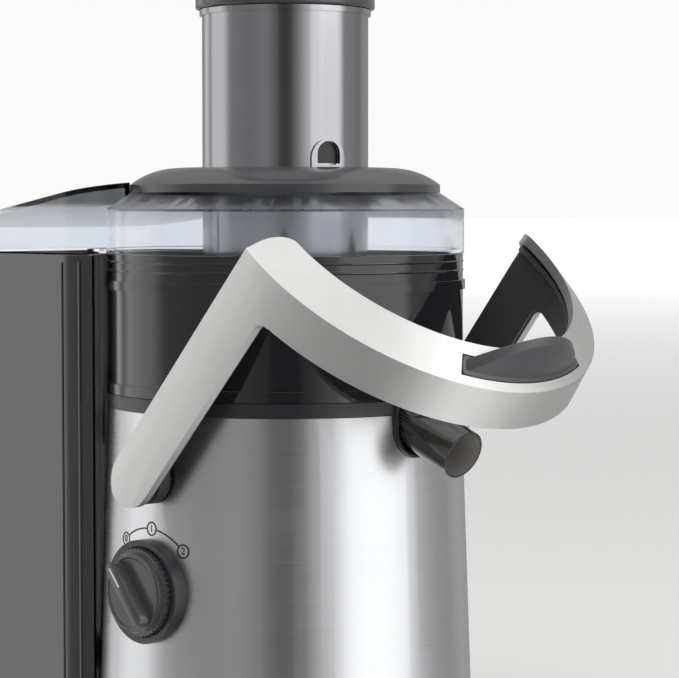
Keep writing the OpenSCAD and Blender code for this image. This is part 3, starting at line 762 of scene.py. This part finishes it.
def circlePoints(radius, height, steps=128):
    turns = [math.tau * i / steps for i in range(steps)]
    return [Vector((radius * math.cos(t), radius * math.sin(t), height)) for t in turns]


bowlLook = {"ring radius": 0.0962, "bead radius": 0.0007, "bead drops": (0.0040, 0.0088)}


def bowlBeads(look):
    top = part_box("juice_bowl")[1].z
    for i, drop in enumerate(look["bead drops"]):
        bead("bowlBead%d" % i, circlePoints(look["ring radius"], top - drop), look["bead radius"],
             smokePlastic, "juice_bowl", True)


bowlBeads(bowlLook)

tubeLook = {"turn": -14, "half": 0.00665, "low": 0.0021, "arch centre": 0.0070, "radius": 0.0440,
            "thickness": 0.0006}


# dark panel at the bottom of the arched recess in the feed tube
def tubeWindow(look):
    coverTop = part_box("lid_cover")[1].z
    outer, inner = look["radius"], look["radius"] - look["thickness"]
    low = coverTop + look["low"]
    steps = 16
    verts = []
    for i in range(steps + 1):
        x = look["half"] * (2 * i / steps - 1)
        top = coverTop + look["arch centre"] + math.sqrt(max(look["half"] ** 2 - x * x, 0))
        turn = math.radians(look["turn"]) + x / outer
        for r, z in ((outer, low), (outer, top), (inner, top), (inner, low)):
            verts.append(Vector((r * math.cos(turn), r * math.sin(turn), z)))
    mesh = meshFrom("tubeWindow", verts, closedRings(steps + 1, 4))
    tidyMesh(mesh)
    extraPiece(dress(addObject("tubeWindow", mesh), inkBlack), "feed_tube")


tubeWindow(tubeLook)
print("bowl and lid")

filterLook = {"columns": 150, "rows": 28, "hole share": 0.58, "thickness": 0.0005,
              "lean": 0.032 / 0.0527}


def filterWall(look):
    low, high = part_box("filter_mesh")
    tree, sockets = perforatedTree()
    wall = grow("filterWall", tree, sockets, {
        "Low Radius": high.x - (high.z - low.z) * look["lean"], "High Radius": high.x - look["thickness"],
        "Low Height": low.z, "High Height": high.z, "Columns": look["columns"], "Rows": look["rows"],
        "Hole Share": look["hole share"], "Thickness": look["thickness"], "Material": filterSteel})
    standFor(wall, "filter_mesh")


filterWall(filterLook)
basketEdges = {
    "basket_hub": ("basketHub", blackPlastic, 0.0005),
    "basket_rim": ("basketRim", blackPlastic, 0.0004),
}
softCopies(basketEdges)

teethLook = {"rows": 6, "first count": 8, "more each row": 3, "first radius": 0.010, "row step": 0.0066,
             "first turn": 5, "row turn": 17, "disc": 0.001, "width": 0.0015, "height": 0.0022}


def graterTeeth(look):
    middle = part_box("grating_disc")[0].z + look["disc"] + look["height"] / 2
    tree, sockets = teethTree()
    for row in range(look["rows"]):
        teeth = grow("graterTeeth%d" % row, tree, sockets, {
            "Count": look["first count"] + look["more each row"] * row,
            "Ring Radius": look["first radius"] + look["row step"] * row,
            "Tooth Width": look["width"], "Tooth Height": look["height"],
            "Start Turn": math.radians(look["row turn"] * row + look["first turn"]),
            "Material": filterSteel})
        teeth.data.transform(Matrix.Translation((0, 0, middle)))
        tidyMesh(teeth.data)
        extraPiece(teeth, "grating_disc")


graterTeeth(teethLook)
print("basket")

armEdges = {
    "arm_hoop": ("armHoop", armMetal, 0.0006),
    "arm_lining": ("armLining", liningGrey, 0.0005),
}
softCopies(armEdges, 3)

# sloping top of the closed arm's hoop, as in the CAD part
hoop = {"edge height": 0.3165, "edge radius": 0.1074, "inner radius": 0.0884, "inner height": 0.3289,
        "tilt": math.radians(3.4), "taper": 7.1 / 143}
# "sides" are (inset, lift) of the plate's rings from its underside up to its outer edge
tabLook = {
    "turn": 25.4, "inner": 0.0946, "outer": 0.1028, "corner": 0.0018, "rim": 0.0021, "pocket": 0.0018,
    "sides": ((0.0004, -0.0036), (0.0, -0.0030), (0.0, -0.0001), (0.0003, 0.0002)), "edge": 0.0003,
    "fin turn": 24.4, "fin rise": 0.0232, "fin face": 0.1012, "crest back": 0.0978, "back turn": 25.0,
    "back end": 0.0958, "crest edge": 0.0007,
}


def armPlace():
    joint = jointOf["arm_swing"]
    pivot = Vector(joint["pos_m"])
    drop = math.radians(abs(joint["range_deg"][0]))
    lowered = Matrix.Translation(pivot) @ Matrix.Rotation(drop, 4, "Y") @ Matrix.Translation(-pivot)
    up = Vector((0, 0, hoop["edge height"]))
    tilted = Matrix.Translation(up) @ Matrix.Rotation(-hoop["tilt"], 4, "Y") @ Matrix.Translation(-up)
    return lowered @ tilted


# height of the hoop's sloping top at a radius, arm closed and level
def seatHeight(radius):
    slope = (hoop["inner height"] - hoop["edge height"]) / (hoop["edge radius"] - hoop["inner radius"])
    return hoop["edge height"] + (hoop["edge radius"] - radius) * slope


# point on the hoop's sloping top: radius, turn in degrees from the front, height above it
def onSeat(radius, turn, lift):
    angle = math.radians(turn)
    return Vector((radius * math.cos(angle), radius * math.sin(angle), seatHeight(radius) + lift))


# plate inlaid in the hoop's top, with a raised rim round a pocket
def tabPlate(look):
    middle = (look["inner"] + look["outer"]) / 2
    halfR = (look["outer"] - look["inner"]) / 2
    halfT = math.radians(look["turn"]) * middle

    # points at 15 degree steps round the four corners, 40 steps along each long side
    def loop(inset, lift):
        corner = max(look["corner"] - inset, look["edge"])
        a, b = halfR - inset - corner, halfT - inset - corner
        points = []
        for quarter, (sr, st) in enumerate(((1, 1), (-1, 1), (-1, -1), (1, -1))):
            for i in range(7):
                turn = math.radians(90 * quarter + 15 * i)
                points.append((sr * a + corner * math.cos(turn), st * b + corner * math.sin(turn)))
            if quarter % 2 == 1:
                last, longWay = points[-1], 40
                side = 1 if quarter == 1 else -1
                for i in range(1, longWay):
                    points.append((last[0], last[1] - 2 * b * i / longWay * side))
        return [onSeat(middle + r, math.degrees(t / middle), lift) for r, t in points]

    rim = look["rim"]
    rings = [loop(inset, lift) for inset, lift in look["sides"]]
    rings += [loop(rim - look["edge"], 0.0002), loop(rim, -0.0001), loop(rim + 0.0002, -look["pocket"])]
    size = len(rings[0])
    verts = [v for ring in rings for v in ring]
    faces = ringFaces(len(rings), size)
    # both flat ends are strips of four-sided faces across the plate
    for start, flip in ((0, True), ((len(rings) - 1) * size, False)):
        outside = [start + (i + 7) % size for i in range(size)]
        for i in range(size // 2 - 1):
            face = [outside[i], outside[i + 1], outside[size - 2 - i], outside[size - 1 - i]]
            faces.append(list(reversed(face)) if flip else face)
    return verts, faces


# thin arched fin that stands in the plate's pocket, leaning back from its face to its crest
def tabFin(look):
    steps = 72
    foot, deep = look["fin face"], -look["pocket"] - 0.0006
    verts = []
    for i in range(steps + 1):
        share = -1 + 2 * i / steps
        arch = 1 - share * share
        frontTurn, backTurn = look["fin turn"] * share, look["back turn"] * share
        front = look["fin rise"] * arch - look["pocket"] * 0.9
        back = look["fin rise"] * arch - look["pocket"] * 0.8
        crestR = look["back end"] + (look["crest back"] - look["back end"]) * (1 - abs(share) ** 3)
        soft = look["crest edge"] * min(1, 3 * arch)
        verts += [
            onSeat(foot + 0.0001, frontTurn, deep), onSeat(foot, frontTurn, front - soft),
            onSeat(foot - soft, frontTurn, front), onSeat(crestR + 0.0003, backTurn, back),
            onSeat(crestR, backTurn, back - 0.0003), onSeat(crestR - 0.0006, backTurn, deep)]
    size = 6
    faces = ringFaces(steps + 1, size)
    faces.append(list(range(size)))
    faces.append([steps * size + k for k in reversed(range(size))])
    return verts, faces


def thumbTab(look):
    place = armPlace()
    verts, faces = tabPlate(look)
    addPart(verts, faces, *tabFin(look))
    mesh = meshFrom("thumbTab", [place @ v for v in verts], faces)
    tidyMesh(mesh, weld=1e-5, sharpAngle=28)
    standFor(dress(addObject("thumbTab", mesh), darkSatin), "thumb_tab")


thumbTab(tabLook)

ribLook = {"low": (0.0205, 0.2955), "high": (0.0235, 0.3125), "radius": 0.0008, "inset": 0.0066}


# slim rib across the corner of each leg's lining, from the inner fillet up to the hoop
def liningRibs(look):
    place = armPlace()
    low, high = Vector(look["low"]), Vector(look["high"])
    steps = 8
    for letter, side in (("A", -1), ("B", 1)):
        points = []
        for i in range(steps + 1):
            x, z = low.lerp(high, i / steps)
            radius = hoop["edge radius"] + (hoop["edge height"] - z) * hoop["taper"] - look["inset"]
            points.append(place @ Vector((x, side * math.sqrt(radius * radius - x * x), z)))
        bead("liningRib" + letter, points, look["radius"], liningGrey, "arm_lining")


liningRibs(ribLook)
print("arm")

softCopy("pulp_container", "pulpContainer", containerGloss, 0.0008, 3)
containerLook = {"corner x": 0.085, "corner radius": 0.036, "turns": (0, 20), "bead radius": 0.0011,
                 "sunk": 0.0003, "foot": 0.006, "head": 0.004}


# upright beads on the corner nearest the base, on both sides
def containerRibs(look):
    low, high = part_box("pulp_container")
    centreY = high.y - look["corner radius"]
    radius = look["corner radius"] - look["sunk"]
    for letter, side in (("A", -1), ("B", 1)):
        for i, turn in enumerate(look["turns"]):
            t = math.radians(turn)
            x = radius * math.sin(t) - look["corner x"]
            y = side * (centreY + radius * math.cos(t))
            ends = [Vector((x, y, low.z + look["foot"])), Vector((x, y, high.z - look["head"]))]
            bead("containerRib%d%s" % (i, letter), ends, look["bead radius"], containerGloss,
                 "pulp_container")


containerRibs(containerLook)
print("container")

stageLook = {"floor size": 80.0, "floor colour": (0.80, 0.80, 0.79), "floor darkest": 0.985,
             "fade": (0.8, 9.0), "backdrop": (0.96, 0.965, 0.965),
             "overhead": (0.50, 0.50, 0.50), "overhead rise": (0.45, 0.8)}


# pale floor that fades into the backdrop with distance
def makeFloor(look):
    half = look["floor size"] / 2
    corners = [(-half, -half, 0), (half, -half, 0), (half, half, 0), (-half, half, 0)]
    floor = addObject("floor", meshFrom("floor", corners, [[0, 1, 2, 3]]))
    material, tree, shader, place = startMaterial(
        "floorPaper", {"Roughness": 0.9, "Emission Strength": 1.0})
    skin = useGroup(tree, moulded, {"Vector": place, "Pebble Scale": 40.0, "Cloud Scale": 1.5})
    first = look["floor colour"]
    paper = tint(tree, skin.outputs["Cloud"], [c * look["floor darkest"] for c in first], first)
    away = addNode(tree, "ShaderNodeVectorMath", {0: place}, operation="LENGTH")
    far = addNode(tree, "ShaderNodeMapRange",
                  {"Value": away.outputs["Value"], "From Min": look["fade"][0], "From Max": look["fade"][1]},
                  interpolation_type="SMOOTHSTEP").outputs[0]
    tree.links.new(tint(tree, far, paper, (0, 0, 0)), shader.inputs["Base Color"])
    tree.links.new(tint(tree, far, (0, 0, 0), look["backdrop"]), shader.inputs["Emission Color"])
    dress(floor, material)
    floor.visible_glossy = False


makeFloor(stageLook)

# brightness round the object, from straight behind the camera: (degrees to the right, level)
softboxes = [  # levels between the angles are blended
    (-180, 0.35), (-152, 0.4), (-143, 1.1), (-134, 1.1), (-128, 0.5), (-118, 1.3), (-96, 1.3), (-80, 0.42),
    (-50, 0.36), (-26, 0.42), (-12, 0.26), (-7, 0.10), (7, 0.10), (13, 0.3), (30, 0.9), (38, 1.75),
    (78, 1.75), (90, 0.5), (126, 0.36), (132, 0.5), (146, 0.5), (152, 0.4),
]


# soft light by the side it comes from; the camera itself sees a plain backdrop
def makeWorld(levels, look):
    world = bpy.data.worlds.new("studio")
    bpy.context.scene.world = world
    world.use_nodes = True
    tree = world.node_tree
    tree.nodes.clear()
    way = addNode(tree, "ShaderNodeTexCoord").outputs["Generated"]
    axes = addNode(tree, "ShaderNodeSeparateXYZ", {0: way})
    turn = mathNode(tree, "ARCTAN2", axes.outputs["Y"], axes.outputs["X"])
    place = cameraSetup["place"]
    fromCamera = mathNode(tree, "SUBTRACT", turn, math.atan2(place[1], place[0]))
    share = mathNode(tree, "MULTIPLY", fromCamera, 1 / math.tau)
    wrapped = mathNode(tree, "FRACT", mathNode(tree, "ADD", share, 1.5))
    ramp = addNode(tree, "ShaderNodeValToRGB", {0: wrapped})
    ramp.color_ramp.interpolation = "EASE"
    points = ramp.color_ramp.elements
    while len(points) > 1:
        points.remove(points[-1])
    brightest = max(level for angle, level in levels)
    for i, (angle, level) in enumerate([*levels, (180, levels[0][1])]):
        spot = (angle + 180) / 360
        point = points[0] if i == 0 else points.new(spot)
        point.position = spot
        point.color = (level / brightest,) * 3 + (1,)
    overhead = rangeNode(tree, axes.outputs["Z"], *look["overhead rise"])
    sky = tint(tree, overhead, ramp.outputs[0], look["overhead"])
    light = addNode(tree, "ShaderNodeBackground", {"Color": sky, "Strength": brightest})
    backdrop = addNode(tree, "ShaderNodeBackground", {"Color": (*look["backdrop"], 1), "Strength": 1.0})
    seen = addNode(tree, "ShaderNodeLightPath")
    both = addNode(tree, "ShaderNodeMixShader", {0: seen.outputs["Is Camera Ray"], 1: light.outputs[0],
                                                 2: backdrop.outputs[0]})
    out = addNode(tree, "ShaderNodeOutputWorld")
    tree.links.new(both.outputs[0], out.inputs["Surface"])


makeWorld(softboxes, stageLook)

lampAim = (0, 0, 0.25)
lampLook = {
    "overhead": {"at": (0.2, -0.3, 1.7), "size": 1.6, "power": 5},
    "keyRight": {"at": (1.5, 0.5, 1.0), "size": 0.9, "power": 4},
}


def makeLamps(look):
    for name, lamp in look.items():
        data = bpy.data.lights.new(name, "AREA")
        data.shape = "SQUARE"
        data.size = lamp["size"]
        data.energy = lamp["power"]
        light = bpy.data.objects.new(name, data)
        light.location = lamp["at"]
        aim = Vector(lampAim) - Vector(lamp["at"])
        light.rotation_euler = aim.to_track_quat("-Z", "Y").to_euler()
        light.visible_camera = False
        bpy.context.scene.collection.objects.link(light)


makeLamps(lampLook)
bpy.context.scene.view_settings.view_transform = "Standard"
print("stage and light")
